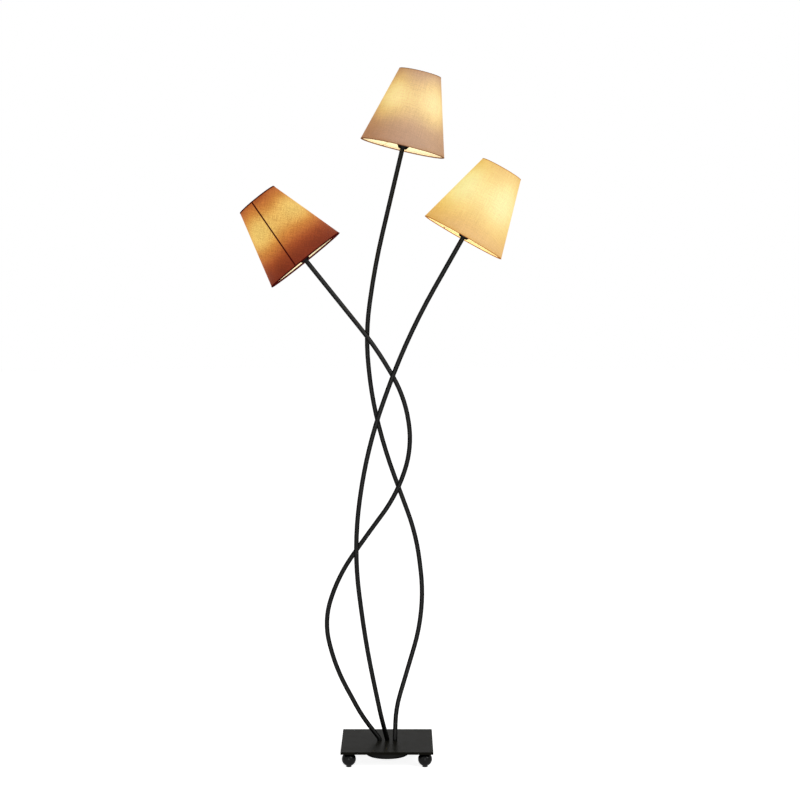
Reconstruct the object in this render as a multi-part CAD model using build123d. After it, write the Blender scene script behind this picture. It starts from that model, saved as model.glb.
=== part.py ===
from build123d import *
import math
import os

# Tree floor lamp: three bent stems weave up from a square base plate, each to its own cone shade.
# Millimetres, +Z up, origin on the floor under the middle of the base plate.
# +X is to the right as the lamp is seen from the front, and +Y is towards the back.

os.makedirs("parts", exist_ok=True)

# Base plate and what it stands on
plate_side = 200.0
plate_t = 5.5
plate_under_z = 30.5
plate_corner_r = 2.5
plate_edge_chamfer = 0.5
foot_offset = 82.3
ball_r = 15.3
ball_centre_drop = 13.6
pad_r = 5.8
pad_t = 2.4
stud_r = 2.5
stud_in_plate = 4.0
stud_in_ball = 12.0

# Cover under the plate
cover_rim_r = 50.0
cover_bottom_r = 48.0
cover_h = 24.3
cover_wall = 1.2
cover_corner = 2.5
post_x = 37.0
post_across_flats = 7.0
screw_r = 2.0
screw_clearance = 0.15
screw_head_r = 3.8
screw_head_h = 2.3
screw_in_post = 12.0
outlet_z = 19.0
outlet_r = 3.5
bush_neck_r = 5.0
bush_flange_r = 6.8
bush_flange_t = 1.5
bush_neck_h = 2.6
bush_y = 48.35

# Wiring parts inside the cover
block_pole_pitch = 8.0
block_poles = 3
block_depth = 16.0
block_h = 12.0
block_foot_t = 3.0
block_y = -27.0
block_screw_y = 3.6
housing_gap = 1.2
housing_inset = 1.0
well_clearance = 0.4
barrel_side = 4.4
barrel_length = 13.0
barrel_bore_r = 1.4
barrel_z = 24.4
terminal_screw_r = 1.2
terminal_screw_proud = 0.5
clamp_y = 24.0
clamp_span = 22.0
clamp_w = 8.0
clamp_bar_t = 2.0
clamp_foot_w = 5.0
clamp_foot_h = 5.0
groove_r = 2.6
groove_rise = 2.4
clamp_screw_inset = 3.5
clamp_screw_r = 1.5
clamp_screw_clearance = 0.15
clamp_screw_head_r = 2.8
clamp_screw_head_h = 2.0
clamp_screw_in_plate = 4.0

# Stems: 10 x 1 tube with an 8 mm threaded spigot under each foot
stem_r = 5.0
stem_bore_r = 4.0
stem_pitch = 17.0
spigot_r = 4.0
spigot_bore_r = 3.0
spigot_end_z = 15.0
pivot_play = 0.05
foot_bend_r = 13.0
bend_share = 0.48
washer_r = 7.5
washer_t = 1.5
spring_r = 7.0
spring_t = 1.6
nut_across_flats = 13.0
nut_h = 5.0
washer_clearance = 0.1
spring_gap = 1.2
spring_slant = 25.0
lead_w = 4.6
lead_t = 2.6
lead_tail = 3.0

# Lampholder, from the shade's lower rim plane along the stem's own direction
stem_in_cup = 9.0
cup_mouth_h = 28.0
cup_r = 14.3
cup_foot_r = 8.5
cup_foot_drop = 1.0
cup_taper_h = 7.0
cup_wall = 0.9
holder_foot_h = 12.0
holder_flange_r = 16.5
holder_flange_t = 2.0
holder_skirt_r = 14.0
holder_top_h = 47.0
holder_bore_r = 8.3
holder_floor_h = 20.0
holder_lead_r = 2.6
ring_r = 19.0
ring_h = 6.0
ring_notches = 8
notch_w = 3.0
notch_depth = 0.8
shell_bore_r = 7.2
shell_wall = 0.6
shell_foot_gap = 2.0
shell_top_gap = 4.0
contact_reach = 5.5
contact_tip_x = 2.6
contact_bend = 1.3
contact_w = 4.0
contact_t = 0.5
cap_contact_r = 2.5
cap_contact_h = 3.0
cap_r = 6.9
cap_tip_h = 23.5
cap_top_h = 48.5
bulb_r = 15.0
bulb_shoulder = 7.0
bulb_neck_h = 8.0
bulb_neck_inset = 0.4
bulb_tip_h = 121.0

# Shade
shade_bottom_r = 93.9
shade_top_r = 46.6
shade_h = 167.8
shade_wall = 0.9
wire = 2.4
rim_gap = 0.3
fitter_bore_r = 14.3
fitter_r = 18.5
fitter_t = 1.5
spokes = 3
spoke_r = 1.1
first_spoke = 30.0
spoke_in_fitter = 1.0
spoke_rise = 0.3

plate_top_z = plate_under_z + plate_t
cover_bottom_z = plate_under_z - cover_h
cover_floor_z = cover_bottom_z + cover_wall
fitter_h = cup_mouth_h + holder_flange_t
clamp_screw_x = clamp_span / 2 - clamp_screw_inset

# Bend points of each stem above its foot, picked along the bends, the last at the shade's rim plane
routes = {
    "left": [
        (-55, 0, 90), (-113, 0, 198), (-139, 0, 303), (-106, 0, 403), (-46, 0, 490), (20, 0, 579),
        (55, 0, 684), (39, 0, 794), (-22, 0, 900), (-175.5, 2, 1091),
    ],
    "right": [
        (-13, -10, 90), (-46, -35, 256), (-73, -54, 472), (-43, -56, 689), (42, -38, 926),
        (163, -33, 1139.5),
    ],
    "top": [
        (19, 11, 105), (71, 36, 277), (79, 45, 362), (65, 53, 483), (-4, 57, 669), (-34, 58, 788),
        (-48, 59, 927), (-27, 60, 1079), (33.5, 64, 1334.5),
    ],
}
foot_x = {"left": -stem_pitch, "right": 0.0, "top": stem_pitch}
foot_vertex_z = {"left": 40.5, "right": 38.5, "top": 38.0}


def save(name, *solids):
    """Write one named sub-part, as a single solid or a group of separate ones."""
    shape = solids[0] if len(solids) == 1 else Compound(children=list(solids))
    export_step(shape, f"parts/{name}.step")


def turned(*points):
    """A part turned about Z from its half section, given as radius and height."""
    section = make_face(Plane.XZ * Polyline(*points, close=True))
    return revolve(section, Axis.Z)


def disc_with_hole(outer_r, inner_r, low_z, high_z):
    ring = Circle(outer_r) - Circle(inner_r)
    return Pos(0, 0, low_z) * extrude(ring, high_z - low_z)


def at_feet(shape):
    """The same shape at each of the four corners of the plate."""
    spots = [(x, y) for x in (-foot_offset, foot_offset) for y in (-foot_offset, foot_offset)]
    return [Pos(x, y, 0) * shape for x, y in spots]


def blind_hole(x, y, radius, depth):
    """A round tool that sinks a hole of this depth into the plate from below."""
    return Pos(x, y, plate_under_z + depth / 2) * Cylinder(radius, depth)


# Base


def base_plate():
    outline = RectangleRounded(plate_side, plate_side, plate_corner_r)
    plate = Pos(0, 0, plate_under_z) * extrude(outline, plate_t)
    plate = chamfer(plate.faces().sort_by(Axis.Z)[-1].outer_wire().edges(), plate_edge_chamfer)
    for x in foot_x.values():
        plate -= Pos(x, 0, plate_under_z) * Cylinder(spigot_r + pivot_play, plate_t * 3)
    for x in (-foot_offset, foot_offset):
        for y in (-foot_offset, foot_offset):
            plate -= blind_hole(x, y, stud_r, stud_in_plate)
    for x in (-clamp_screw_x, clamp_screw_x):
        plate -= blind_hole(x, clamp_y, clamp_screw_r, clamp_screw_in_plate)
    return plate


def foot_ball():
    """A ball with a flat where it meets the plate, a flat for its pad and a hole for its stud."""
    centre_z = plate_under_z - ball_centre_drop
    band = Pos(0, 0, (plate_under_z + pad_t) / 2) * Box(3 * ball_r, 3 * ball_r, plate_under_z - pad_t)
    ball = Pos(0, 0, centre_z) * Sphere(ball_r) & band
    return ball - Pos(0, 0, plate_under_z - stud_in_ball / 2) * Cylinder(stud_r, stud_in_ball)


def foot_stud():
    length = stud_in_plate + stud_in_ball
    return Pos(0, 0, plate_under_z + stud_in_plate - length / 2) * Cylinder(stud_r, length)


def foot_pad():
    return Pos(0, 0, pad_t / 2) * Cylinder(pad_r, pad_t)


def base_cover():
    """A pressed cup, open at the top, with two screw holes in its floor and the cable outlet behind."""
    wall_top_r = cover_rim_r - cover_wall
    wall_low_r = cover_bottom_r - cover_wall
    cover = turned(
        (0, cover_bottom_z),
        (cover_bottom_r - cover_corner, cover_bottom_z),
        (cover_bottom_r, cover_bottom_z + cover_corner),
        (cover_rim_r, plate_under_z),
        (wall_top_r, plate_under_z),
        (wall_low_r, cover_bottom_z + cover_corner),
        (wall_low_r - cover_corner / 2, cover_floor_z),
        (0, cover_floor_z),
    )
    for x in (-post_x, post_x):
        cover -= Pos(x, 0, cover_bottom_z) * Cylinder(screw_r + screw_clearance, 4 * cover_wall)
    return cover - Pos(0, cover_rim_r, outlet_z) * Rot(90, 0, 0) * Cylinder(bush_neck_r, 4 * bush_neck_h)


def cable_bush():
    """A rubber bush that grips the cover's wall between two flanges."""
    half_neck = bush_neck_h / 2
    bush = turned(
        (outlet_r, -half_neck - bush_flange_t),
        (bush_flange_r, -half_neck - bush_flange_t),
        (bush_flange_r, -half_neck),
        (bush_neck_r, -half_neck),
        (bush_neck_r, half_neck),
        (bush_flange_r, half_neck),
        (bush_flange_r, half_neck + bush_flange_t),
        (outlet_r, half_neck + bush_flange_t),
    )
    return Pos(0, bush_y, outlet_z) * Rot(-90, 0, 0) * bush


def cover_post():
    length = plate_under_z - cover_floor_z
    outline = RegularPolygon(post_across_flats / 2, 6, major_radius=False) - Circle(screw_r + screw_clearance)
    return Pos(0, 0, cover_floor_z) * extrude(outline, length)


def cover_screw():
    head = Pos(0, 0, cover_bottom_z - screw_head_h / 2) * Cylinder(screw_head_r, screw_head_h)
    return head + Pos(0, 0, cover_bottom_z + screw_in_post / 2) * Cylinder(screw_r, screw_in_post)


# Wiring parts


def pole_x():
    return [(i - (block_poles - 1) / 2) * block_pole_pitch for i in range(block_poles)]


def terminal_block():
    """A strip of three poles: a flat foot, and a barrel housing on it for each pole."""
    width = block_poles * block_pole_pitch
    housing_h = block_h - block_foot_t
    housing_z = plate_under_z - block_foot_t - housing_h / 2
    housing = Box(block_pole_pitch - housing_gap, block_depth - 2 * housing_inset, housing_h)
    well = Cylinder(terminal_screw_r + well_clearance, housing_h)
    block = Pos(0, 0, plate_under_z - block_foot_t / 2) * Box(width, block_depth, block_foot_t)
    for x in pole_x():
        block += Pos(x, 0, housing_z) * housing
        block -= Pos(x, 0, barrel_z) * Box(barrel_side, block_depth, barrel_side)
        for y in (-block_screw_y, block_screw_y):
            block -= Pos(x, y, barrel_z - housing_h / 2) * well
    return Pos(0, block_y, 0) * block


def terminal_clamp():
    """A square brass barrel with a wire bore through it and two tapped holes."""
    wire_bore = Rot(90, 0, 0) * Cylinder(barrel_bore_r, 2 * barrel_length)
    barrel = Box(barrel_side, barrel_length, barrel_side) - wire_bore
    for y in (-block_screw_y, block_screw_y):
        barrel -= Pos(0, y, -barrel_side / 2) * Cylinder(terminal_screw_r, barrel_side)
    return Pos(0, block_y, barrel_z) * barrel


def terminal_screw():
    middle_z = barrel_z - barrel_side / 2 - terminal_screw_proud
    return Pos(0, block_y, middle_z) * Cylinder(terminal_screw_r, barrel_side)


def cord_clamp():
    """A saddle bar, screwed up against the plate, that grips the supply cord behind the bush."""
    groove = Pos(0, 0, groove_rise) * Rot(90, 0, 0) * Cylinder(groove_r, 2 * clamp_w)
    hole = Cylinder(clamp_screw_r + clamp_screw_clearance, 2 * clamp_foot_h)
    foot = Box(clamp_foot_w, clamp_w, clamp_foot_h) - hole
    bar = Box(clamp_span, clamp_w, clamp_bar_t) - groove
    for x in (-clamp_screw_x, clamp_screw_x):
        bar -= Pos(x, 0, 0) * hole
        bar += Pos(x, 0, (clamp_bar_t + clamp_foot_h) / 2) * foot
    return Pos(0, clamp_y, plate_under_z - clamp_foot_h - clamp_bar_t / 2) * bar


def clamp_screw():
    head_z = plate_under_z - clamp_foot_h - clamp_bar_t
    shank_h = clamp_foot_h + clamp_bar_t + clamp_screw_in_plate
    head = Pos(0, 0, head_z - clamp_screw_head_h / 2) * Cylinder(clamp_screw_head_r, clamp_screw_head_h)
    return head + Pos(0, 0, head_z + shank_h / 2) * Cylinder(clamp_screw_r, shank_h)


# Stems


def stem_points(name):
    """Corner points of a stem's centre line, from the plate's top face into the lampholder."""
    x = foot_x[name]
    points = [Vector(x, 0, plate_top_z), Vector(x, 0, foot_vertex_z[name])]
    points += [Vector(*p) for p in routes[name]]
    end = (points[-1] - points[-2]).normalized()
    points[-1] += end * stem_in_cup
    return points


def stem_line(name):
    """The centre line: straight runs joined by tangent arcs, each as large as its runs allow."""
    points = stem_points(name)
    radii = []
    taken = 0.0
    for i in range(1, len(points) - 1):
        before = points[i] - points[i - 1]
        after = points[i + 1] - points[i]
        half_turn = math.radians(before.get_angle(after)) / 2
        if i == 1:
            radii.append(foot_bend_r)
            taken = foot_bend_r * math.tan(half_turn)
        else:
            radii.append(bend_share * min(before.length - taken, after.length) / math.tan(half_turn))
            taken = 0.0
    return FilletPolyline(*points, radius=radii)


def stem(name):
    """A bent tube whose foot shoulders on the plate, with a threaded spigot through the plate."""
    line = stem_line(name)
    # The bore is hidden, so eight flats stand for its round.
    section = Circle(stem_r) - RegularPolygon(stem_bore_r, 8)
    start = Plane(origin=line @ 0, x_dir=(1, 0, 0), z_dir=line % 0)
    tube = sweep(start * section, path=line)
    spigot_h = plate_top_z - spigot_end_z
    spigot = extrude(Circle(spigot_r) - Circle(spigot_bore_r), spigot_h)
    return tube + Pos(foot_x[name], 0, spigot_end_z) * spigot


def lead(name):
    """The flat twin lead that runs inside the stem, from below the spigot to the lampholder."""
    line = stem_line(name)
    start = Plane(origin=line @ 0, x_dir=(0, 1, 0), z_dir=line % 0)
    inside = sweep(start * Rectangle(lead_w, lead_t), path=line)
    tail_h = plate_top_z - spigot_end_z + lead_tail
    tail = Pos(foot_x[name], 0, plate_top_z - tail_h / 2) * Box(lead_t, lead_w, tail_h)
    return inside + tail


def pivot_washer():
    low = plate_under_z - washer_t
    return disc_with_hole(washer_r, spigot_r + washer_clearance, low, plate_under_z)


def pivot_spring():
    """A split spring washer, held between the flat washer and the nut."""
    top = plate_under_z - washer_t
    ring = disc_with_hole(spring_r, spigot_r + washer_clearance, top - spring_t, top)
    split = Box(spring_gap, 2 * spring_r, 4 * spring_t)
    return ring - Pos(0, -spring_r, top) * Rot(0, spring_slant, 0) * split


def pivot_nut():
    top = plate_under_z - washer_t - spring_t
    hexagon = RegularPolygon(nut_across_flats / 2, 6, major_radius=False)
    nut = extrude(hexagon - Circle(spigot_r), nut_h)
    return Pos(0, 0, top - nut_h) * nut


# Heads, each drawn upright on the middle of the shade's lower rim plane


def socket_cup():
    """The cup that closes the lampholder's foot; its thick floor screws on to the stem."""
    return turned(
        (stem_r, -cup_foot_drop),
        (cup_foot_r, -cup_foot_drop),
        (cup_r, cup_taper_h),
        (cup_r, cup_mouth_h),
        (cup_r - cup_wall, cup_mouth_h),
        (cup_r - cup_wall, stem_in_cup),
        (stem_r, stem_in_cup),
    )


def lampholder():
    """The insulating body: a foot inside the cup, a flange for the shade and a threaded skirt."""
    foot_r = cup_r - cup_wall
    return turned(
        (holder_lead_r, holder_foot_h),
        (foot_r, holder_foot_h),
        (foot_r, cup_mouth_h),
        (holder_flange_r, cup_mouth_h),
        (holder_flange_r, fitter_h),
        (holder_skirt_r, fitter_h),
        (holder_skirt_r, holder_top_h),
        (holder_bore_r, holder_top_h),
        (holder_bore_r, holder_floor_h),
        (holder_lead_r, holder_floor_h),
    )


def screw_shell():
    low = holder_floor_h + shell_foot_gap
    return disc_with_hole(shell_bore_r + shell_wall, shell_bore_r, low, holder_top_h - shell_top_gap)


def centre_contact():
    """A bent spring strip that presses on the tip of the bulb."""
    low = holder_floor_h
    strip = Polyline(
        (-contact_reach, low),
        (contact_reach, low),
        (contact_reach, low + contact_t),
        (contact_bend - contact_reach, low + contact_t),
        (contact_tip_x, cap_tip_h - contact_t),
        (contact_tip_x, cap_tip_h),
        (-contact_reach, low + contact_bend),
        close=True,
    )
    return extrude(make_face(Plane.XZ * strip), contact_w / 2, both=True)


def shade_ring():
    """The threaded ring that clamps the shade's fitter on the flange, with finger notches."""
    low = fitter_h + fitter_t
    ring = disc_with_hole(ring_r, holder_skirt_r, low, low + ring_h)
    notch = Pos(ring_r, 0, low + ring_h / 2) * Box(2 * notch_depth, notch_w, 2 * ring_h)
    for i in range(ring_notches):
        ring -= Rot(0, 0, i * 360 / ring_notches) * notch
    return ring


def bulb_cap():
    """The bulb's metal cap, with the small contact under it."""
    return turned(
        (0, cap_tip_h),
        (cap_contact_r, cap_tip_h),
        (cap_contact_r, cap_tip_h + cap_contact_h),
        (cap_r, cap_tip_h + cap_contact_h),
        (cap_r, cap_top_h),
        (0, cap_top_h),
    )


def bulb():
    """A tubular bulb: a neck that opens to a straight tube with a bevelled end."""
    foot_r = cap_r - bulb_neck_inset
    return turned(
        (0, cap_top_h),
        (foot_r, cap_top_h),
        (bulb_r, cap_top_h + bulb_neck_h),
        (bulb_r, bulb_tip_h - bulb_shoulder),
        (bulb_r - bulb_shoulder / 3, bulb_tip_h - bulb_shoulder / 3),
        (bulb_r - bulb_shoulder, bulb_tip_h),
        (0, bulb_tip_h),
    )


def shade_radius(height):
    return shade_bottom_r + (shade_top_r - shade_bottom_r) * height / shade_h


def shade():
    """A cone of laminated cloth, open at both ends."""
    return turned(
        (shade_bottom_r, 0),
        (shade_top_r, shade_h),
        (shade_top_r - shade_wall, shade_h),
        (shade_bottom_r - shade_wall, 0),
    )


def rim_wire(low, clear_r):
    """A ring of square wire that fits in the cone just under this radius."""
    return disc_with_hole(clear_r, clear_r - wire, low, low + wire)


def shade_frame():
    """The lower rim's wire, with three straight spokes up to a flat fitter round the lampholder."""
    rim_r = shade_radius(rim_gap + wire) - shade_wall - rim_gap
    frame = rim_wire(rim_gap, rim_r) + disc_with_hole(fitter_r, fitter_bore_r, fitter_h, fitter_h + fitter_t)
    inner = Vector(fitter_r - spoke_in_fitter, 0, fitter_h + spoke_rise)
    outer = Vector(rim_r - wire / 2, 0, rim_gap + wire / 2)
    spoke_plane = Plane(origin=inner, z_dir=outer - inner)
    spoke = spoke_plane * extrude(Circle(spoke_r), (outer - inner).length)
    for i in range(spokes):
        frame += Rot(0, 0, first_spoke + i * 360 / spokes) * spoke
    return frame


def top_wire():
    low = shade_h - rim_gap - wire
    return rim_wire(low, shade_radius(shade_h - rim_gap) - shade_wall - rim_gap)


def head_plane(name):
    """The plane of a shade's lower rim, square to the end of its stem."""
    points = [Vector(*p) for p in routes[name]]
    return Plane(origin=points[-1], x_dir=(0, 1, 0), z_dir=points[-1] - points[-2])


save("base_plate", base_plate())
save("foot_balls", *at_feet(foot_ball()))
save("foot_studs", *at_feet(foot_stud()))
save("foot_pads", *at_feet(foot_pad()))
save("base_cover", base_cover())
save("cable_bush", cable_bush())
save("cover_posts", *[Pos(x, 0, 0) * cover_post() for x in (-post_x, post_x)])
save("cover_screws", *[Pos(x, 0, 0) * cover_screw() for x in (-post_x, post_x)])
save("terminal_block", terminal_block())
save("terminal_clamps", *[Pos(x, 0, 0) * terminal_clamp() for x in pole_x()])
screw_spots = [(x, y) for x in pole_x() for y in (-block_screw_y, block_screw_y)]
save("terminal_screws", *[Pos(x, y, 0) * terminal_screw() for x, y in screw_spots])
save("cord_clamp", cord_clamp())
save("clamp_screws", *[Pos(x, clamp_y, 0) * clamp_screw() for x in (-clamp_screw_x, clamp_screw_x)])

pivot_parts = {"pivot_washer": pivot_washer(), "pivot_spring": pivot_spring(), "pivot_nut": pivot_nut()}
head_parts = {
    "socket_cup": socket_cup(),
    "lampholder": lampholder(),
    "screw_shell": screw_shell(),
    "centre_contact": centre_contact(),
    "shade_ring": shade_ring(),
    "bulb_cap": bulb_cap(),
    "bulb": bulb(),
    "shade_frame": shade_frame(),
    "top_wire": top_wire(),
    "shade": shade(),
}
for name in routes:
    save(f"{name}_stem", stem(name))
    save(f"{name}_lead", lead(name))
    for piece, shape in pivot_parts.items():
        save(f"{name}_{piece}", Pos(foot_x[name], 0, 0) * shape)
    for piece, shape in head_parts.items():
        save(f"{name}_{piece}", head_plane(name) * shape)
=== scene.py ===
import math

import bmesh
import bpy
from mathutils import Matrix, Vector


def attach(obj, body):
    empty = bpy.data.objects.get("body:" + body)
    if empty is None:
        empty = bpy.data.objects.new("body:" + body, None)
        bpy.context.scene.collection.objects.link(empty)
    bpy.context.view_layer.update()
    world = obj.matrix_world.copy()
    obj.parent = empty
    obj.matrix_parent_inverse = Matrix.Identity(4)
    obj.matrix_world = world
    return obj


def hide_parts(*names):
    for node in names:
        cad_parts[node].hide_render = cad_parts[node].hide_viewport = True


# Tree floor lamp. Metres, +Z up, the front towards -Y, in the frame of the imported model.

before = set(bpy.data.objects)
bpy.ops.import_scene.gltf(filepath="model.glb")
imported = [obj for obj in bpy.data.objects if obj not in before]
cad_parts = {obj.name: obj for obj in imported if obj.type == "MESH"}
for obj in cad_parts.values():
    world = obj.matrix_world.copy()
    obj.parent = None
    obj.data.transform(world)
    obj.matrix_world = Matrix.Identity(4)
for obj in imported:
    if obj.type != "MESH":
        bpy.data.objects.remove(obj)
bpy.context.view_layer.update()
print("frame loaded,", len(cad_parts), "nodes")


# Meshes

fullTurn = 2 * math.pi
tiny = 1e-6
cornerAngle = math.radians(45)


def newPiece(name, bm, finishes, smoothBelow=35.0):
    mesh = bpy.data.meshes.new(name)
    bm.to_mesh(mesh)
    bm.free()
    for finish in finishes:
        mesh.materials.append(finish)
    mesh.shade_smooth()
    mesh.set_sharp_from_angle(angle=math.radians(smoothBelow))
    piece = bpy.data.objects.new(name, mesh)
    bpy.context.scene.collection.objects.link(piece)
    return piece


def spinOutline(bm, outline, steps, closed=False):
    # outline is a list of (radius, height); returns the faces that the spin made
    known = set(bm.faces)
    points = [bm.verts.new((radius, 0, height)) for radius, height in outline]
    edges = [bm.edges.new(pair) for pair in zip(points, points[1:])]
    if closed:
        edges.append(bm.edges.new((points[-1], points[0])))
    bmesh.ops.spin(bm, geom=points + edges, cent=(0, 0, 0), axis=(0, 0, 1), dvec=(0, 0, 0),
                   angle=fullTurn, steps=steps, use_merge=True, use_duplicate=False)
    made = [face for face in bm.faces if face not in known]
    corners = list({vert for face in made for vert in face.verts})
    bmesh.ops.remove_doubles(bm, verts=corners, dist=tiny)
    made = [face for face in bm.faces if face not in known]
    bmesh.ops.recalc_face_normals(bm, faces=made)
    return made


def roundEdges(bm, edges, offset, segments):
    bmesh.ops.bevel(bm, geom=edges, offset=offset, segments=segments, profile=0.5,
                    affect="EDGES", material=-1)


def cornerEdges(faces):
    # the edges inside a set of faces at which the surface turns sharply
    return [edge for edge in {edge for face in faces for edge in face.edges}
            if len(edge.link_faces) == 2 and edge.calc_face_angle(0) > cornerAngle]


# Finishes


def shaderOf(finish):
    return finish.node_tree.nodes["Principled BSDF"]


def newFinish(name, colour, roughness, **settings):
    finish = bpy.data.materials.new(name)
    finish.use_nodes = True
    shader = shaderOf(finish)
    shader.inputs["Base Color"].default_value = (*colour, 1)
    shader.inputs["Roughness"].default_value = roughness
    for socket, value in settings.items():
        shader.inputs[socket.replace("_", " ")].default_value = value
    return finish


def addNode(finish, kind, **values):
    node = finish.node_tree.nodes.new(kind)
    for name, value in values.items():
        if name in node.bl_rna.properties:
            setattr(node, name, value)
        else:
            node.inputs[name.replace("_", " ")].default_value = value
    return node


def join(finish, source, target):
    finish.node_tree.links.new(source, target)


def stretched(finish, vector, scale):
    mapping = addNode(finish, "ShaderNodeMapping", Scale=scale)
    join(finish, vector, mapping.inputs["Vector"])
    return mapping.outputs["Vector"]


def objectPlace(finish, stretch=(1, 1, 1)):
    place = addNode(finish, "ShaderNodeTexCoord")
    return stretched(finish, place.outputs["Object"], stretch)


def noise(finish, vector, scale, detail=3.0):
    made = addNode(finish, "ShaderNodeTexNoise", Scale=scale, Detail=detail, Roughness=0.55)
    join(finish, vector, made.inputs["Vector"])
    return made.outputs["Fac"]


def sums(finish, operation, first, second=None):
    # a Math node; each operand is a socket or a number
    node = addNode(finish, "ShaderNodeMath", operation=operation)
    for socket, value in zip(node.inputs, (first, second)):
        if isinstance(value, (int, float)):
            socket.default_value = value
        elif value is not None:
            join(finish, value, socket)
    return node.outputs["Value"]


def spread(finish, value, low, high, fromLow=0.3, fromHigh=0.7):
    # stretches a noise, which stays near its middle, over low to high
    node = addNode(finish, "ShaderNodeMapRange", From_Min=fromLow, From_Max=fromHigh,
                   To_Min=low, To_Max=high)
    join(finish, value, node.inputs["Value"])
    return node.outputs["Result"]


def mixColours(finish, share, first, second):
    # a Mix node's colours are its inputs 6 and 7, and its output 2
    node = addNode(finish, "ShaderNodeMix", data_type="RGBA")
    join(finish, share, node.inputs[0])
    node.inputs[6].default_value = (*first, 1)
    node.inputs[7].default_value = (*second, 1)
    return node.outputs[2]


def bumpFrom(finish, height, distance):
    bump = addNode(finish, "ShaderNodeBump", Strength=1.0, Distance=distance)
    join(finish, height, bump.inputs["Height"])
    join(finish, bump.outputs["Normal"], shaderOf(finish).inputs["Normal"])


def grain(finish, scale, depth, detail=2.0, stretch=(1, 1, 1)):
    bumpFrom(finish, noise(finish, objectPlace(finish, stretch), scale, detail), depth)


def mottled(name, first, second, scale, roughnesses, fine, **settings):
    # two near colours and two roughnesses, mixed by a noise; fine is what grain takes
    finish = newFinish(name, first, roughnesses[0], **settings)
    shader = shaderOf(finish)
    share = spread(finish, noise(finish, objectPlace(finish), scale), 0, 1)
    join(finish, mixColours(finish, share, first, second), shader.inputs["Base Color"])
    join(finish, spread(finish, share, *roughnesses, 0, 1), shader.inputs["Roughness"])
    grain(finish, *fine)
    return finish


# Black lacquer on steel. On round parts it darkens towards the outline; on the plate it stays even.

black = (0, 0, 0, 1)
paintClouds = 45
stemPaint = mottled("stemPaint", (0.012, 0.012, 0.012), (0.0155, 0.0155, 0.0148), paintClouds,
                    (0.26, 0.33), (900, 0.000006), Metallic=1.0, Specular_Tint=black)
coverPaint = mottled("coverPaint", (0.010, 0.010, 0.010), (0.014, 0.014, 0.013), paintClouds,
                     (0.34, 0.44), (900, 0.00001), Metallic=1.0, Specular_Tint=black)
platePaint = mottled("platePaint", (0.008, 0.0075, 0.0055), (0.011, 0.0105, 0.008), paintClouds,
                     (0.33, 0.39), (1200, 0.00001), Specular_IOR_Level=0.0098)
blackBall = mottled("ballLacquer", (0.011, 0.011, 0.011), (0.015, 0.015, 0.015), 160, (0.19, 0.26),
                    (300, 0.00001), Metallic=1.0, Specular_Tint=(0.65, 0.65, 0.65, 1))

# Felt and rubber

feltPad = mottled("feltGrey", (0.008, 0.008, 0.0085), (0.020, 0.020, 0.019), 2600, (0.9, 1.0),
                  (3500, 0.0003, 5.0), Sheen_Weight=0.2, Sheen_Roughness=0.6)
rubber = mottled("bushRubber", (0.010, 0.010, 0.010), (0.022, 0.022, 0.021), 500, (0.5, 0.72),
                 (2200, 0.00005))

# Bare metals, with fine turning marks that run round Z

turning = (900, 0.00004, 4.0, (1, 1, 6))
zincSteel = mottled("zincSteel", (0.52, 0.53, 0.55), (0.68, 0.69, 0.70), 350, (0.28, 0.42), turning,
                    Metallic=1.0)
brass = mottled("brass", (0.72, 0.50, 0.21), (0.82, 0.62, 0.30), 350, (0.24, 0.40), turning, Metallic=1.0)
capMetal = mottled("capMetal", (0.70, 0.71, 0.72), (0.82, 0.82, 0.83), 350, (0.25, 0.38), turning,
                   Metallic=1.0)

# Moulded plastics and fibre

moulded = (1500, 0.00003)
redFibre = mottled("redFibre", (0.22, 0.055, 0.035), (0.30, 0.085, 0.05), 900, (0.6, 0.75), moulded)
blockPlastic = mottled("blockPlastic", (0.70, 0.69, 0.64), (0.78, 0.77, 0.73), 220, (0.35, 0.45), moulded)
leadPlastic = mottled("leadPlastic", (0.55, 0.54, 0.50), (0.62, 0.61, 0.57), 220, (0.45, 0.6), moulded)
holderPlastic = mottled("holderPlastic", (0.010, 0.010, 0.010), (0.018, 0.017, 0.016), 220, (0.32, 0.48),
                        moulded)
print("hard finishes made")


# Cloth. Its two UV maps: Wrap is (share of the turn from the seam, share of the height), and Cut is
# the flat piece before it was rolled, in metres, so that the threads run as they were woven.
# glow is the bulb's light through the cloth, painted into its emission, from least to most, and band where it
# does. The inside of a hem has the hem's colour all over, or only up to hemLine from the edge.

# litLining is the bulb's light painted into the lining's emission, from its bottom to its top
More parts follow.
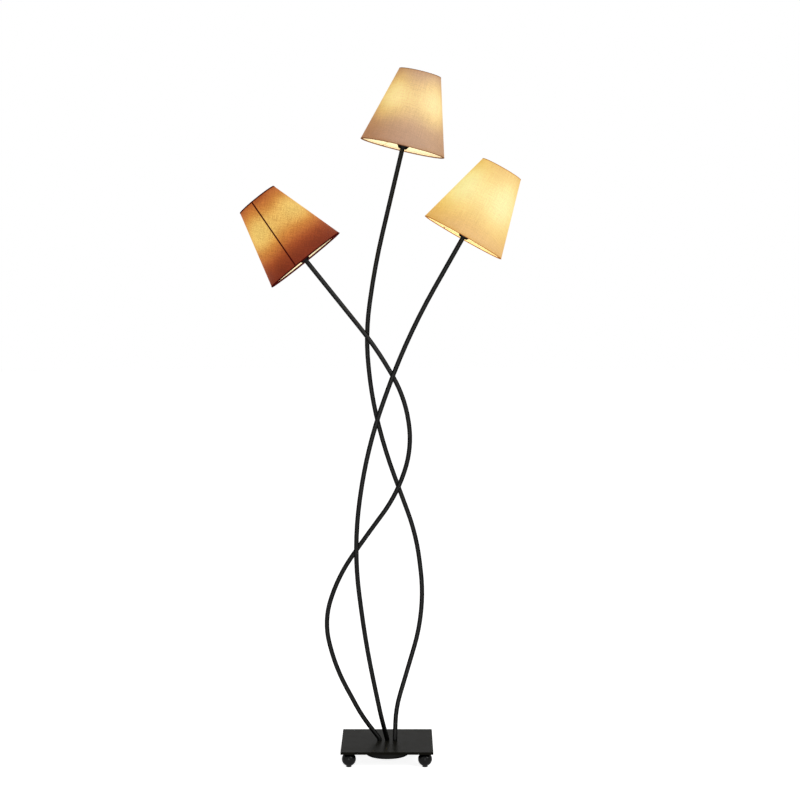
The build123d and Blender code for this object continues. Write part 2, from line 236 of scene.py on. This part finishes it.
cloths = {
    "left": {
        "base": (0.05, 0.010, 0.005), "thread": (0.07, 0.014, 0.007),
        "glow": ((0.0, (0.128, 0.012, 0.004)), (0.33, (0.41, 0.113, 0.022)), (0.67, (0.64, 0.30, 0.06)),
                 (1.0, (0.83, 0.57, 0.15))),
        "band": {"height": 0.62, "width": 0.335, "lobes": 4, "lobeStart": 52.5, "lobeDepth": 0.07},
        "hem": (0.035, 0.003, 0.003), "hemGlow": (0.035, 0.0025, 0.002), "edge": (0.8, 0.35, 0.08, 1),
        "hemBand": 0.0027, "hemFold": 0.0037, "hemLine": 0.0025, "hemInside": True,
        "slubs": 0.6, "shimmer": (0.92, 1.06), "depth": (0.75, 1.21),
        "litLining": ((0.62, 0.56, 0.36), (0.84, 0.78, 0.52)),
    },
    "right": {
        "base": (0.23, 0.21, 0.205), "thread": (0.27, 0.25, 0.24),
        "glow": ((0.0, (0.61, 0.31, 0.04)), (0.33, (0.72, 0.43, 0.05)), (0.67, (0.81, 0.59, 0.14)),
                 (1.0, (0.83, 0.72, 0.25))),
        "band": {"height": 0.59, "width": 0.39, "lobes": 4, "lobeStart": 39.0, "lobeDepth": 0.12},
        "hem": (0.36, 0.20, 0.10), "hemGlow": (0.28, 0.09, 0.01), "edge": (0.9, 0.6, 0.15, 1),
        "hemBand": 0.0013, "hemFold": 0.0031, "hemLine": 0.0020, "hemInside": False,
        "slubs": 0.8, "shimmer": (0.96, 1.04), "depth": (0.91, 1.09),
        "litLining": ((0.62, 0.50, 0.20), (0.85, 0.72, 0.34)),
    },
    "top": {
        "base": (0.255, 0.255, 0.235), "thread": (0.30, 0.30, 0.275),
        "glow": ((0.0, (0.31, 0.105, 0.018)), (0.33, (0.48, 0.235, 0.05)), (0.67, (0.70, 0.435, 0.10)),
                 (1.0, (0.83, 0.61, 0.20))),
        "band": {"height": 0.62, "width": 0.32, "lobes": 4, "lobeStart": 46.0, "lobeDepth": 0.15},
        "hem": (0.26, 0.15, 0.10), "hemGlow": (0.10, 0.035, 0.01), "edge": (0.9, 0.45, 0.15, 1),
        "hemBand": 0.0013, "hemFold": 0.0031, "hemLine": 0.0024, "hemInside": False,
        "slubs": 0.8, "shimmer": (0.96, 1.04), "depth": (0.88, 1.12),
        "litLining": ((0.60, 0.51, 0.33), (0.80, 0.72, 0.47)),
    },
}
weaveForm = {"pitch": 0.0008, "warp": (440, 32, 1), "weft": (28, 480, 1), "nubScale": 350,
             "cloudScale": 28, "crossingDepth": 0.16, "cloudDepth": 0.35, "toneRange": 0.28}


def uvPlace(finish, layer):
    node = addNode(finish, "ShaderNodeUVMap", uv_map=layer)
    return node.outputs["UV"]


def weave(finish, slubShare):
    # returns the height of the threads, and how light each spot is against its neighbours
    form = weaveForm
    cut = uvPlace(finish, "Cut")
    warp = noise(finish, stretched(finish, cut, form["warp"]), 1.0)
    weft = noise(finish, stretched(finish, cut, form["weft"]), 1.0)
    nubs = noise(finish, cut, form["nubScale"], 4.0)
    cloud = noise(finish, cut, form["cloudScale"], 2.0)
    place = addNode(finish, "ShaderNodeSeparateXYZ")
    join(finish, cut, place.inputs["Vector"])
    threadTurn = fullTurn / form["pitch"]
    overUnder = [sums(finish, "SINE", sums(finish, "MULTIPLY", place.outputs[axis], threadTurn))
                 for axis in "XY"]
    crossings = sums(finish, "MULTIPLY", sums(finish, "MULTIPLY", *overUnder), form["crossingDepth"])
    slubs = sums(finish, "MULTIPLY", sums(finish, "ADD", warp, weft), slubShare)
    height = sums(finish, "ADD", sums(finish, "ADD", slubs, nubs), crossings)
    tone = sums(finish, "ADD", height, sums(finish, "MULTIPLY", cloud, form["cloudDepth"]))
    middle = slubShare + (1 + form["cloudDepth"]) / 2
    lightest, darkest = middle + form["toneRange"], middle - form["toneRange"]
    return height, spread(finish, tone, 0.0, 1.0, darkest, lightest)


def glowShare(finish, band, seamAngle):
    # how much of the bulb's light is painted as coming through: most in a band at its height, with soft lobes
    # around
    wrap = addNode(finish, "ShaderNodeSeparateXYZ")
    join(finish, uvPlace(finish, "Wrap"), wrap.inputs["Vector"])
    away = sums(finish, "SUBTRACT", wrap.outputs["Y"], band["height"])
    offset = sums(finish, "DIVIDE", away, band["width"])
    square = sums(finish, "MULTIPLY", offset, offset)
    bell = sums(finish, "EXPONENT", sums(finish, "MULTIPLY", square, -1.0))
    start = math.radians(seamAngle - band["lobeStart"])
    turn = sums(finish, "ADD", sums(finish, "MULTIPLY", wrap.outputs["X"], fullTurn), start)
    wave = sums(finish, "COSINE", sums(finish, "MULTIPLY", turn, band["lobes"]))
    lobes = sums(finish, "ADD", sums(finish, "MULTIPLY", wave, band["lobeDepth"]), 1 - band["lobeDepth"])
    return sums(finish, "MULTIPLY", bell, lobes)


def clothFinish(name, look, seamAngle):
    finish = newFinish(name, look["base"], 0.85, Sheen_Weight=0.10, Sheen_Roughness=0.35,
                       Sheen_Tint=look["edge"], Specular_IOR_Level=0.2, Emission_Strength=1.0)
    shader = shaderOf(finish)
    height, tone = weave(finish, look["slubs"])
    join(finish, mixColours(finish, tone, look["base"], look["thread"]), shader.inputs["Base Color"])
    ramp = addNode(finish, "ShaderNodeValToRGB")
    ramp.color_ramp.interpolation = "CARDINAL"
    stops = ramp.color_ramp.elements
    while len(stops) < len(look["glow"]):
        stops.new(0.5)
    for stop, (place, colour) in zip(stops, look["glow"]):
        stop.position = place
        stop.color = (*colour, 1)
    shine = glowShare(finish, look["band"], seamAngle)
    shimmer = spread(finish, tone, *look["shimmer"], 0, 1)
    join(finish, sums(finish, "MULTIPLY", shine, shimmer), ramp.inputs["Fac"])
    # the bulb's light through the cloth, painted into the emission colour and varied by the weave
    glow = addNode(finish, "ShaderNodeVectorMath", operation="SCALE")
    join(finish, ramp.outputs["Color"], glow.inputs[0])
    join(finish, spread(finish, tone, *look["depth"], 0, 1), glow.inputs["Scale"])
    join(finish, glow.outputs[0], shader.inputs["Emission Color"])
    bumpFrom(finish, height, 0.00012)
    return finish


def hemFinish(name, look):
    # the little light that comes through the doubled cloth is painted into its emission
    shade = 0.75
    darker = tuple(shade * part for part in look["hem"])
    return mottled(name, darker, look["hem"], 700, (0.75, 0.9), (1500, 0.0001), Specular_IOR_Level=0.0,
                   Emission_Strength=1.0, Emission_Color=(*look["hemGlow"], 1))


def liningFinish(name, look):
    # the pale inside of the laminated cloth, with the bulb's light on it painted into its emission, brightest
    # from this share of its height
    brightest = 0.7
    finish = newFinish(name, (0.86, 0.80, 0.60), 0.55, Emission_Strength=1.0, Specular_IOR_Level=0.2)
    wrap = addNode(finish, "ShaderNodeSeparateXYZ")
    join(finish, uvPlace(finish, "Wrap"), wrap.inputs["Vector"])
    share = spread(finish, wrap.outputs["Y"], 0.0, 1.0, 0.0, brightest)
    join(finish, mixColours(finish, share, *look["litLining"]), shaderOf(finish).inputs["Emission Color"])
    grain(finish, 600, 0.00004)
    return finish


def glassFinish(name):
    # frosted glass, lit from inside, a little cloudy
    finish = newFinish(name, (0.92, 0.90, 0.84), 0.35, Emission_Strength=2.2, Coat_Weight=0.4)
    share = spread(finish, noise(finish, objectPlace(finish), 60), 0.0, 1.0)
    glow = mixColours(finish, share, (1.0, 0.86, 0.60), (1.0, 0.92, 0.72))
    join(finish, glow, shaderOf(finish).inputs["Emission Color"])
    return finish


bulbGlass = glassFinish("bulbGlass")

# Pale enamel, with the bulb's warm light on it painted into its emission

bulbLitEnamel = mottled("bulbLitWireEnamel", (0.46, 0.43, 0.32), (0.54, 0.51, 0.42), 300, (0.3, 0.45), (1200, 0.00003),
                      Emission_Strength=1.0, Emission_Color=(0.50, 0.41, 0.20, 1))
print("cloth and glass finishes made")


# Heads. Each is built upright on the middle of its shade's lower rim, then turned along its stem.

heads = {
    "left": {"lastBend": (-0.022, 0.0, 0.900), "rim": (-0.1755, 0.002, 1.091), "seamAngle": 167.5},
    "right": {"lastBend": (0.042, -0.038, 0.926), "rim": (0.163, -0.033, 1.1395), "seamAngle": 12.0},
    "top": {"lastBend": (-0.027, 0.060, 1.079), "rim": (0.0335, 0.064, 1.3345), "seamAngle": -15.0},
}

shadeForm = {"bottomRadius": 0.0939, "topRadius": 0.0466, "height": 0.1678, "wall": 0.0009,
             "around": 144, "rows": 15, "hemWrap": 0.0004, "hemRound": 0.0010, "hemSteps": 4,
             "seamWidth": 0.0032, "seamThick": 0.0010, "seamRound": 0.0003, "seamSteps": 2}
wireForm = {"radius": 0.0012, "gap": 0.0003, "sides": 10,
            "fitterInner": 0.0143, "fitterOuter": 0.0185, "fitterHeight": 0.030, "fitterThick": 0.0015,
            "fitterRound": 0.000375, "fitterSteps": 2, "fitterAround": 72,
            "spokes": 3, "firstSpoke": 30.0, "spokeSunk": 0.001, "spokeLift": 0.0004, "spokeSides": 14,
            "taped": 0.0048, "tapeRadius": 0.0013}
bulbForm = {"capRadius": 0.0065, "capTop": 0.0485, "capGap": 0.0002, "collar": 0.002, "neck": 0.008,
            "radius": 0.015, "tip": 0.121, "domeHeight": 0.00825, "domeSteps": 8, "around": 64}


def headMatrix(head):
    up = (Vector(head["rim"]) - Vector(head["lastBend"])).normalized()
    side = up.cross(Vector((0, 1, 0))).normalized()
    turned = Matrix((side.cross(up), side, up)).transposed().to_4x4()
    return Matrix.Translation(head["rim"]) @ turned


def placeOnHead(piece, name, replaced):
    piece.data.transform(headMatrix(heads[name]))
    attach(piece, f"{name}_arm")
    if replaced:
        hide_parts(*replaced)
    return piece


def seamTurn(name):
    return Matrix.Rotation(math.radians(heads[name]["seamAngle"]), 3, "Z")


def coneRadius(height):
    form = shadeForm
    return form["bottomRadius"] + (form["topRadius"] - form["bottomRadius"]) * height / form["height"]


def wireRadius(height):
    # the radius of a rim wire that lies against the inside of the cone at this height
    return coneRadius(height) - shadeForm["wall"] - wireForm["gap"] - wireForm["radius"]


coneSlope = math.atan((shadeForm["bottomRadius"] - shadeForm["topRadius"]) / shadeForm["height"])
slantLength = shadeForm["height"] / math.cos(coneSlope)
apexToBottom = shadeForm["bottomRadius"] / math.sin(coneSlope)
cutAngle = fullTurn * math.sin(coneSlope)
lowerWireRadius = wireRadius(2 * wireForm["radius"])
upperWireRadius = wireRadius(shadeForm["height"])


def writeClothMaps(bm, seamAngle):
    wrap = bm.loops.layers.uv.new("Wrap")
    cut = bm.loops.layers.uv.new("Cut")
    seam = math.radians(seamAngle)
    for face in bm.faces:
        middle = face.calc_center_median()
        middleTurn = (math.atan2(middle.y, middle.x) - seam) % fullTurn
        for loop in face.loops:
            place = loop.vert.co
            turn = (math.atan2(place.y, place.x) - seam) % fullTurn
            if turn - middleTurn > math.pi:
                turn -= fullTurn
            elif middleTurn - turn > math.pi:
                turn += fullTurn
            share = place.z / shadeForm["height"]
            reach = apexToBottom - share * slantLength
            bend = (turn / fullTurn - 0.5) * cutAngle
            loop[wrap].uv = (turn / fullTurn, share)
            loop[cut].uv = (reach * math.sin(bend), reach * math.cos(bend))


def shadeCloth(name, look, litLining):
    form = shadeForm
    bm = bmesh.new()
    bmesh.ops.create_cone(bm, cap_ends=False, segments=form["around"], radius1=form["bottomRadius"],
                          radius2=form["topRadius"], depth=form["height"])
    bmesh.ops.translate(bm, verts=bm.verts, vec=(0, 0, form["height"] / 2))
    upright = [edge for edge in bm.edges if abs(edge.verts[0].co.z - edge.verts[1].co.z) > tiny]
    bmesh.ops.subdivide_edges(bm, edges=upright, cuts=form["rows"], use_grid_fill=True)
    bmesh.ops.rotate(bm, verts=bm.verts, cent=(0, 0, 0), matrix=seamTurn(name))
    bmesh.ops.recalc_face_normals(bm, faces=bm.faces)
    writeClothMaps(bm, heads[name]["seamAngle"])
    finishes = [clothFinish(f"{name}Cloth", look, heads[name]["seamAngle"]), litLining]
    cloth = newPiece(f"{name}_shade_cloth", bm, finishes, smoothBelow=60)
    wall = cloth.modifiers.new("wall", "SOLIDIFY")
    wall.thickness = form["wall"]
    wall.offset = -1
    wall.material_offset = 1
    wall.material_offset_rim = 0
    return placeOnHead(cloth, name, [f"{name}_shade"])


def shadeHem(name, which, look, hem, litLining):
    # the cloth's edge, rolled round the rim wire: a band outside, and a fold that covers the wire inside
    form = shadeForm
    bm = bmesh.new()
    if which == "lower":
        edge, inward, ring = -form["hemWrap"], 1, lowerWireRadius
    else:
        edge, inward, ring = form["height"] + form["hemWrap"], -1, upperWireRadius
    band, fold, line = (edge + inward * look[part] for part in ("hemBand", "hemFold", "hemLine"))
    inner = ring - wireForm["radius"] - form["hemWrap"]
    middle = form["wall"] / 2
    outline = [(coneRadius(edge) + form["hemWrap"], edge), (coneRadius(band) + form["hemWrap"], band),
               (coneRadius(band) - middle, band), (coneRadius(fold) - middle, fold),
               (inner, fold), (inner, line), (inner, edge)]
    made = spinOutline(bm, outline, form["around"], closed=True)
    ends = [corner for corner in cornerEdges(made)
            if all(abs(vert.co.z - edge) < tiny for vert in corner.verts)]
    roundEdges(bm, ends, form["hemRound"], form["hemSteps"])
    piece = newPiece(f"{name}_shade_{which}_hem", bm, [hem, litLining], smoothBelow=60)
    if not look["hemInside"]:
        for face in piece.data.polygons:
            inside = face.center.xy.length < inner + form["hemRound"] / 2
            if inside and abs(face.center.z - edge) > look["hemLine"]:
                face.material_index = 1
    return placeOnHead(piece, name, [])


def shadeSeam(name, look, hem):
    # the folded overlap where the cloth's two ends meet
    form = shadeForm
    bm = bmesh.new()
    bmesh.ops.create_cube(bm, size=1)
    length = slantLength - 2 * look["hemBand"]
    bmesh.ops.scale(bm, verts=bm.verts, vec=(form["seamThick"], form["seamWidth"], length))
    bmesh.ops.rotate(bm, verts=bm.verts, cent=(0, 0, 0), matrix=Matrix.Rotation(-coneSlope, 3, "Y"))
    middle = form["height"] / 2
    bmesh.ops.translate(bm, verts=bm.verts, vec=(coneRadius(middle), 0, middle))
    roundEdges(bm, list(bm.edges), form["seamRound"], form["seamSteps"])
    bmesh.ops.rotate(bm, verts=bm.verts, cent=(0, 0, 0), matrix=seamTurn(name))
    piece = newPiece(f"{name}_shade_seam", bm, [hem])
    return placeOnHead(piece, name, [])


def wireRing(bm, radius, height):
    form = wireForm
    turns = [fullTurn * side / form["sides"] for side in range(form["sides"])]
    outline = [(radius + form["radius"] * math.cos(turn), height + form["radius"] * math.sin(turn))
               for turn in turns]
    spinOutline(bm, outline, shadeForm["around"], closed=True)


def addRod(bm, near, far, thick, turn, index):
    # a round rod between two points, turned about the middle, in the piece's finish of that index
    known = set(bm.faces)
    run = far - near
    lie = run.to_track_quat("Z", "Y").to_matrix().to_4x4()
    bmesh.ops.create_cone(bm, cap_ends=True, segments=wireForm["spokeSides"], radius1=thick, radius2=thick,
                          depth=run.length, matrix=turn @ Matrix.Translation((near + far) / 2) @ lie)
    for face in bm.faces:
        if face not in known:
            face.material_index = index


def shadeFrame(name, hem):
    # the fitter ring, the lower rim wire, and the spokes between them, whose outer ends are taped
    form = wireForm
    bm = bmesh.new()
    ringHeight = form["gap"] + form["radius"]
    wireRing(bm, lowerWireRadius, ringHeight)
    inner, outer, low = form["fitterInner"], form["fitterOuter"], form["fitterHeight"]
    top = low + form["fitterThick"]
    fitter = spinOutline(bm, [(inner, low), (outer, low), (outer, top), (inner, top)],
                         form["fitterAround"], closed=True)
    roundEdges(bm, cornerEdges(fitter), form["fitterRound"], form["fitterSteps"])
    start = Vector((outer - form["spokeSunk"], 0, low + form["spokeLift"]))
    end = Vector((lowerWireRadius, 0, ringHeight))
    tape = end - (end - start).normalized() * form["taped"]
    for spoke in range(form["spokes"]):
        turn = Matrix.Rotation(math.radians(form["firstSpoke"] + 360 * spoke / form["spokes"]), 4, "Z")
        addRod(bm, start, tape, form["radius"], turn, 0)
        addRod(bm, tape, end, form["tapeRadius"], turn, 1)
    piece = newPiece(f"{name}_shade_wireframe", bm, [bulbLitEnamel, hem])
    return placeOnHead(piece, name, [f"{name}_shade_frame"])


def upperWire(name):
    form = wireForm
    bm = bmesh.new()
    height = shadeForm["height"] - form["gap"] - form["radius"]
    wireRing(bm, upperWireRadius, height)
    piece = newPiece(f"{name}_shade_upper_wire", bm, [bulbLitEnamel])
    return placeOnHead(piece, name, [f"{name}_top_wire"])


def glassBulb(name):
    form = bulbForm
    bm = bmesh.new()
    capTop, radius, dome = form["capTop"], form["radius"], form["domeHeight"]
    outline = [(0, capTop + form["capGap"]), (form["capRadius"], capTop + form["capGap"]),
               (form["capRadius"], capTop + form["collar"]), (radius, capTop + form["neck"] + form["collar"]),
               (radius, form["tip"] - dome)]
    for step in range(1, form["domeSteps"]):
        turn = math.pi / 2 * step / form["domeSteps"]
        outline.append((radius * math.cos(turn), form["tip"] - dome * (1 - math.sin(turn))))
    outline.append((0, form["tip"]))
    spinOutline(bm, outline, form["around"])
    piece = newPiece(f"{name}_glass_bulb", bm, [bulbGlass], smoothBelow=50)
    return placeOnHead(piece, name, [f"{name}_bulb"])


# Each head: its cloth, hems, seam, wire frame, upper wire and bulb

for name, look in cloths.items():
    litLining = liningFinish(f"{name}Lining", look)
    cloth = shadeCloth(name, look, litLining)
    hem = hemFinish(f"{name}Hem", look)
    trims = [shadeHem(name, which, look, hem, litLining) for which in ("lower", "upper")]
    trims.append(shadeSeam(name, look, hem))
    shadeFrame(name, hem)
    upperWire(name)
    glassBulb(name)
    print(name, "head made")


# Small parts under the plate

screwForm = {"headRadius": 0.0038, "headHeight": 0.0023, "shankRadius": 0.0020, "shankLength": 0.012,
             "seat": 0.0062, "across": 0.037, "domed": 0.0009, "flat": 0.62, "shoulder": 0.88,
             "shoulderDrop": 0.4, "crossWidth": 0.0009, "crossReach": 0.0021, "crossDepth": 0.0012,
             "crossTaper": 0.7, "around": 48}
bushForm = {"bore": 0.0035, "neck": 0.0050, "flange": 0.0068, "neckLength": 0.0026, "flangeThick": 0.0015,
            "middle": (0.0, 0.04835, 0.019), "rounding": 0.0005, "roundSteps": 3, "around": 48}


def screwEnd(bm):
    # the flat end of the screw being made; the one made before is in its place already
    return [face for face in bm.faces
            if all(abs(vert.co.z + screwForm["headHeight"]) < tiny for vert in face.verts)]


def cutCross(bm):
    # a cross recess in the flat end: planes cut its outline, and its faces are pushed in and narrowed
    form = screwForm
    half = form["crossWidth"] / 2
    bmesh.ops.dissolve_faces(bm, faces=screwEnd(bm), use_verts=True)
    for axis in (0, 1):
        normal = Vector((0, 0, 0))
        normal[axis] = 1
        for place in (-form["crossReach"], -half, half, form["crossReach"]):
            flat = screwEnd(bm)
            edges = {edge for face in flat for edge in face.edges}
            corners = {vert for face in flat for vert in face.verts}
            bmesh.ops.bisect_plane(bm, geom=[*flat, *edges, *corners], dist=tiny,
                                   plane_co=normal * place, plane_no=normal)
    recess = []
    for face in screwEnd(bm):
        centre = face.calc_center_median()
        near, far = sorted((abs(centre.x), abs(centre.y)))
        if near < half and far < form["crossReach"]:
            recess.append(face)
    pushed = bmesh.ops.extrude_face_region(bm, geom=recess)["geom"]
    bmesh.ops.delete(bm, geom=recess, context="FACES")
    deep = [item for item in pushed if isinstance(item, bmesh.types.BMVert)]
    bmesh.ops.scale(bm, verts=deep, vec=(form["crossTaper"], form["crossTaper"], 1))
    bmesh.ops.translate(bm, verts=deep, vec=(0, 0, form["crossDepth"]))


def coverScrew(bm, x):
    # a domed head that points down, and its shank in the post above
    form = screwForm
    known = set(bm.verts)
    radius, low = form["headRadius"], -form["headHeight"]
    outline = [(0, low), (radius * form["flat"], low),
               (radius * form["shoulder"], low + form["domed"] * form["shoulderDrop"]),
               (radius, low + form["domed"]), (radius, 0), (form["shankRadius"], 0),
               (form["shankRadius"], form["shankLength"]), (0, form["shankLength"])]
    spinOutline(bm, outline, form["around"])
    cutCross(bm)
    made = [vert for vert in bm.verts if vert not in known]
    bmesh.ops.translate(bm, verts=made, vec=(x, 0, form["seat"]))


def coverScrews():
    bm = bmesh.new()
    for side in (-1, 1):
        coverScrew(bm, side * screwForm["across"])
    piece = newPiece("cover_cross_screws", bm, [zincSteel])
    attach(piece, "base")
    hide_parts("cover_screws")


def cordBush():
    # a moulded bush with rounded flanges on both sides of the cover's wall
    form = bushForm
    bore, neck, flange = form["bore"], form["neck"], form["flange"]
    half = form["neckLength"] / 2
    reach = half + form["flangeThick"]
    bm = bmesh.new()
    made = spinOutline(bm, [(bore, -reach), (flange, -reach), (flange, -half), (neck, -half), (neck, half),
                            (flange, half), (flange, reach), (bore, reach)], form["around"], closed=True)
    ends = [corner for corner in cornerEdges(made)
            if all(abs(abs(vert.co.z) - reach) < tiny for vert in corner.verts)]
    roundEdges(bm, ends, form["rounding"], form["roundSteps"])
    turned = Matrix.Rotation(math.radians(-90), 3, "X")
    bmesh.ops.rotate(bm, verts=bm.verts, cent=(0, 0, 0), matrix=turned)
    bmesh.ops.translate(bm, verts=bm.verts, vec=form["middle"])
    piece = newPiece("cord_bush", bm, [rubber])
    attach(piece, "base")
    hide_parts("cable_bush")


coverScrews()
cordBush()
print("small parts made")


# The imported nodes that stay

nodeFinishes = {
    "base_plate": platePaint, "foot_balls": blackBall, "foot_studs": zincSteel, "foot_pads": feltPad,
    "base_cover": coverPaint, "cover_posts": zincSteel,
    "terminal_block": blockPlastic, "terminal_clamps": brass, "terminal_screws": zincSteel,
    "cord_clamp": blockPlastic, "clamp_screws": zincSteel,
}
armFinishes = {
    "stem": stemPaint, "lead": leadPlastic, "pivot_washer": redFibre, "pivot_spring": zincSteel,
    "pivot_nut": zincSteel, "socket_cup": coverPaint, "lampholder": holderPlastic, "screw_shell": brass,
    "centre_contact": brass, "shade_ring": holderPlastic, "bulb_cap": capMetal,
}
for name in heads:
    for part, finish in armFinishes.items():
        nodeFinishes[f"{name}_{part}"] = finish
for node, finish in nodeFinishes.items():
    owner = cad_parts[node]
    if not owner.material_slots:
        owner.data.materials.append(None)
    for place in owner.material_slots:
        place.material = finish
print(len(nodeFinishes), "packed nodes finished")


# Stage, light and camera

# lift is the floor's own brightness to the camera, and world the world's as a light; it is seen at 1

stageLook = {"floorRadius": 14.0, "floorColour": (0.86, 0.86, 0.86), "lift": 0.88, "world": 0.20}
lamps = {
    "keyLight": {"place": (2.6, -2.3, 2.7), "aim": (0.0, 0.0, 0.9), "size": (1.9, 1.9), "power": 66},
    "fillLight": {"place": (-2.8, -2.2, 1.7), "aim": (0.0, 0.0, 0.8), "size": (2.2, 2.2), "power": 3},
    "stripLight": {"place": (0.0, -4.6, 0.9), "aim": (0.0, 0.0, 0.9), "size": (0.7, 1.8), "power": 31},
}
photoCamera = {"place": (0.02816, -4.09123, 1.10594), "pitchDown": 4.4402, "lens": 85.0, "sensor": 36.0}


def seenRays(tree):
    # 1 for what the camera sees, also by way of gloss or glass, and 0 for light
    path = tree.nodes.new("ShaderNodeLightPath")
    seen = path.outputs["Is Camera Ray"]
    for ray in ("Is Glossy Ray", "Is Transmission Ray"):
        either = tree.nodes.new("ShaderNodeMath")
        either.operation = "MAXIMUM"
        tree.links.new(seen, either.inputs[0])
        tree.links.new(path.outputs[ray], either.inputs[1])
        seen = either.outputs["Value"]
    return seen


def addFloor(look):
    bm = bmesh.new()
    bmesh.ops.create_circle(bm, cap_ends=True, segments=96, radius=look["floorRadius"])
    finish = newFinish("floorWhite", look["floorColour"], 0.9, Specular_IOR_Level=0.0,
                       Emission_Color=(1, 1, 1, 1))
    lift = sums(finish, "MULTIPLY", seenRays(finish.node_tree), look["lift"])
    join(finish, lift, shaderOf(finish).inputs["Emission Strength"])
    newPiece("floor", bm, [finish])


def addWorld(look):
    world = bpy.data.worlds.new("studio")
    bpy.context.scene.world = world
    world.use_nodes = True
    tree = world.node_tree
    background = tree.nodes["Background"]
    background.inputs["Color"].default_value = (1, 1, 1, 1)
    share = tree.nodes.new("ShaderNodeMapRange")
    share.inputs["To Min"].default_value = look["world"]
    share.inputs["To Max"].default_value = 1.0
    tree.links.new(seenRays(tree), share.inputs["Value"])
    tree.links.new(share.outputs["Result"], background.inputs["Strength"])


def addLamp(name, lamp):
    light = bpy.data.lights.new(name, "AREA")
    light.shape = "RECTANGLE"
    light.size, light.size_y = lamp["size"]
    light.energy = lamp["power"]
    holder = bpy.data.objects.new(name, light)
    holder.location = lamp["place"]
    aim = Vector(lamp["aim"]) - Vector(lamp["place"])
    holder.rotation_euler = aim.to_track_quat("-Z", "Y").to_euler()
    bpy.context.scene.collection.objects.link(holder)


def addCamera(setup):
    lens = bpy.data.cameras.new("photoCamera")
    lens.lens = setup["lens"]
    lens.sensor_width = setup["sensor"]
    camera = bpy.data.objects.new("photoCamera", lens)
    camera.location = setup["place"]
    camera.rotation_euler = (math.radians(90 - setup["pitchDown"]), 0, 0)
    bpy.context.scene.collection.objects.link(camera)
    bpy.context.scene.camera = camera


addFloor(stageLook)
addWorld(stageLook)
for name, lamp in lamps.items():
    addLamp(name, lamp)
addCamera(photoCamera)
bpy.context.scene.view_settings.view_transform = "Standard"
print("stage, light and camera made")
